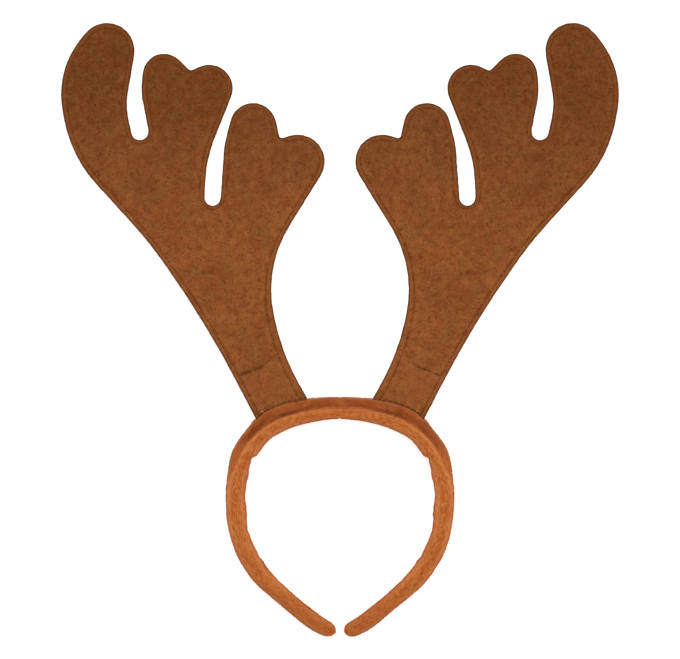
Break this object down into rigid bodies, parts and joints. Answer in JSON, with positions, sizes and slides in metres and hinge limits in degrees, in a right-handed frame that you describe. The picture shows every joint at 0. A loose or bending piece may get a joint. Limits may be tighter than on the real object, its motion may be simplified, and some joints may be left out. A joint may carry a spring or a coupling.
{
  "type": "reindeer antler headband",
  "caption": "Padded plush hair band with flat felt reindeer antlers sewn into the seam ridge on top of the head.",
  "frame": {"origin": "middle of the whole outline as it lies on its back edge, on the surface it lies on", "axes": "+Z out of the front of the headband, up as it lies; +Y from the band's free ends to the antler tips; +X to the right seen from the front"},
  "size_m": [0.332, 0.365, 0.017],
  "materials": {
    "plush": "short brushed plush pile",
    "felt": "mottled needle felt"
  },
  "bodies": {
    "root": {"headband": "plush", "antler_left_front": "felt", "antler_left_back": "felt", "antler_right_front": "felt", "antler_right_back": "felt"}
  },
  "joints": []
}
